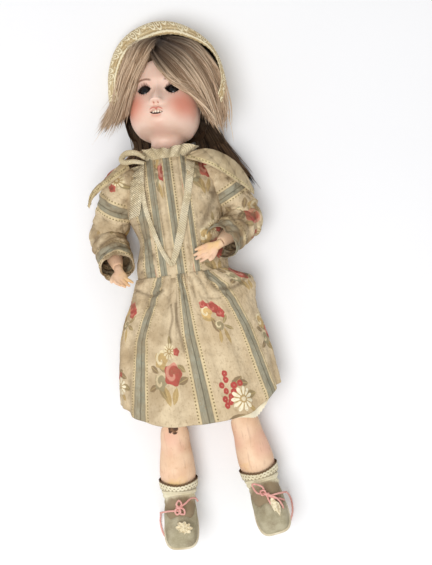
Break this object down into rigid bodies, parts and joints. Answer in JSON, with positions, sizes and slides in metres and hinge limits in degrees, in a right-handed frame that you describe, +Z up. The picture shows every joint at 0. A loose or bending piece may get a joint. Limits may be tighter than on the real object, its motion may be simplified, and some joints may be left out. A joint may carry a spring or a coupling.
{
  "type": "bisque head doll",
  "caption": "Dressed bisque head doll with sleeping eyes on a strung, ball-jointed body, lying on its back in a printed frock, bonnet, socks and slippers.",
  "frame": {"origin": "on the resting surface, on the flat back of the dress under the middle of the chest", "axes": "+Z up and out of the doll's front, +Y towards its head, +X towards its left hand"},
  "size_m": [0.1751, 0.531, 0.0839],
  "materials": {
    "bisque": "matt fired and tinted porcelain",
    "composition": "worn varnish over flesh paint",
    "turned_wood": "bare",
    "eye_glass": "polished, opaque brown and white",
    "tooth_porcelain": "glazed",
    "wire": "dull",
    "lead": "dull grey",
    "plaster": "chalky",
    "cork": "rough",
    "elastic": "woven cover",
    "hair": "ash blond strands",
    "straw_lace": "stiffened lace",
    "print_cotton": "cream cotton with blue-grey stripes and flowers",
    "cream_lace": "aged lace",
    "white_cotton": "thin, lace-edged",
    "knit": "ribbed",
    "felt": "soft grey-green",
    "sole_leather": "pale",
    "pink_cord": "twisted"
  },
  "bodies": {
    "torso": {"torso_shell": "composition", "chest_elastic": "elastic", "leg_elastic": "elastic", "dress_bodice": "print_cotton", "dress_skirt": "print_cotton", "petticoat": "white_cotton", "collar_frill": "cream_lace", "lace_plastron": "cream_lace", "shoulder_cape_left": "cream_lace", "shoulder_cape_right": "cream_lace"},
    "neck": {"neck_button": "turned_wood", "neck_hook": "wire"},
    "head": {"bisque_head": "bisque", "crown_pate": "cork", "upper_teeth": "tooth_porcelain", "eye_saddle": "plaster", "wig": "hair", "hair_fall_left": "hair", "hair_fall_right": "hair", "bonnet": "straw_lace", "bonnet_lace": "straw_lace"},
    "eyes": {"eye_left": "eye_glass", "eye_right": "eye_glass", "eye_yoke": "wire", "eye_weight": "lead"},
    "shoulder_left": {"shoulder_ball_left": "turned_wood"},
    "upper_arm_left": {"upper_arm_left": "composition", "arm_elastic_left": "elastic", "sleeve_left": "print_cotton"},
    "forearm_left": {"forearm_left": "composition", "elbow_ball_left": "turned_wood"},
    "hand_left": {"hand_left": "composition"},
    "hip_left": {"hip_ball_left": "turned_wood"},
    "thigh_left": {"thigh_left": "composition", "thigh_elastic_left": "elastic"},
    "shin_left": {"knee_ball_left": "turned_wood", "lower_leg_left": "composition", "sock_left": "knit", "shoe_upper_left": "felt", "shoe_sole_left": "sole_leather", "shoe_bow_left": "pink_cord", "shoe_tie_left": "pink_cord"},
    "shoulder_right": {"shoulder_ball_right": "turned_wood"},
    "upper_arm_right": {"upper_arm_right": "composition", "arm_elastic_right": "elastic", "sleeve_right": "print_cotton"},
    "forearm_right": {"forearm_right": "composition", "elbow_ball_right": "turned_wood"},
    "hand_right": {"hand_right": "composition"},
    "hip_right": {"hip_ball_right": "turned_wood"},
    "thigh_right": {"thigh_right": "composition", "thigh_elastic_right": "elastic"},
    "shin_right": {"knee_ball_right": "turned_wood", "lower_leg_right": "composition", "sock_right": "knit", "shoe_upper_right": "felt", "shoe_sole_right": "sole_leather", "shoe_bow_right": "pink_cord", "shoe_tie_right": "pink_cord"}
  },
  "joints": [
    {"name": "neck_turn", "type": "hinge", "parent": "torso", "child": "neck", "pos_m": [0, 0.091, 0.042], "axis": [0, 1, 0], "range_deg": [-45, 65], "deforming": ["hair_fall_left", "hair_fall_right", "leg_elastic"]},
    {"name": "head_nod", "type": "hinge", "parent": "neck", "child": "head", "pos_m": [0, 0.091, 0.042], "axis": [1, 0, 0], "range_deg": [-3, 18]},
    {"name": "eyes_sleep", "type": "hinge", "parent": "head", "child": "eyes", "pos_m": [0.00289, 0.15463, 0.06428], "axis": [0.9798, -0.1042, 0.1705], "range_deg": [0, 40]},
    {"name": "shoulder_swing_left", "type": "hinge", "parent": "torso", "child": "shoulder_left", "pos_m": [0.047, 0.07, 0.036], "axis": [-1, 0, 0], "range_deg": [-3, 90], "deforming": ["dress_bodice", "shoulder_cape_left"]},
    {"name": "shoulder_raise_left", "type": "hinge", "parent": "shoulder_left", "child": "upper_arm_left", "pos_m": [0.047, 0.07, 0.036], "axis": [0, 0, 1], "range_deg": [-4, 50]},
    {"name": "elbow_bend_left", "type": "hinge", "parent": "upper_arm_left", "child": "forearm_left", "pos_m": [0.071, 0.022, 0.03], "axis": [-0.6767, -0.2519, -0.6918], "range_deg": [-75, 5], "deforming": ["sleeve_left"]},
    {"name": "wrist_turn_left", "type": "hinge", "parent": "forearm_left", "child": "hand_left", "pos_m": [0.0388, -0.00073, 0.06978], "axis": [-0.575, -0.4059, 0.7103], "range_deg": [-20, 60]},
    {"name": "hip_swing_left", "type": "hinge", "parent": "torso", "child": "hip_left", "pos_m": [0.024, -0.07, 0.034], "axis": [-1, 0, 0], "range_deg": [-3, 60], "deforming": ["dress_skirt", "petticoat"]},
    {"name": "hip_spread_left", "type": "hinge", "parent": "hip_left", "child": "thigh_left", "pos_m": [0.024, -0.07, 0.034], "axis": [0, 0, 1], "range_deg": [-4, 12]},
    {"name": "knee_bend_left", "type": "hinge", "parent": "thigh_left", "child": "shin_left", "pos_m": [0.03981, -0.17672, 0.02906], "axis": [1, 0, 0], "range_deg": [0, 70]},
    {"name": "shoulder_swing_right", "type": "hinge", "parent": "torso", "child": "shoulder_right", "pos_m": [-0.047, 0.07, 0.036], "axis": [-1, 0, 0], "range_deg": [-3, 90], "deforming": ["dress_bodice", "shoulder_cape_right"]},
    {"name": "shoulder_raise_right", "type": "hinge", "parent": "shoulder_right", "child": "upper_arm_right", "pos_m": [-0.047, 0.07, 0.036], "axis": [0, 0, -1], "range_deg": [-4, 50]},
    {"name": "elbow_bend_right", "type": "hinge", "parent": "upper_arm_right", "child": "forearm_right", "pos_m": [-0.07211, 0.02606, 0.01717], "axis": [-0.8373, 0.2763, 0.4718], "range_deg": [-75, 10], "deforming": ["sleeve_right"]},
    {"name": "wrist_turn_right", "type": "hinge", "parent": "forearm_right", "child": "hand_right", "pos_m": [-0.06212, -0.01189, 0.05712], "axis": [0.1783, -0.6777, 0.7134], "range_deg": [-60, 60]},
    {"name": "hip_swing_right", "type": "hinge", "parent": "torso", "child": "hip_right", "pos_m": [-0.024, -0.07, 0.034], "axis": [-1, 0, 0], "range_deg": [-3, 60], "deforming": ["dress_skirt", "petticoat"]},
    {"name": "hip_spread_right", "type": "hinge", "parent": "hip_right", "child": "thigh_right", "pos_m": [-0.024, -0.07, 0.034], "axis": [0, 0, -1], "range_deg": [-4, 12]},
    {"name": "knee_bend_right", "type": "hinge", "parent": "thigh_right", "child": "shin_right", "pos_m": [-0.03098, -0.17766, 0.02902], "axis": [1, 0, 0], "range_deg": [0, 70]}
  ]
}
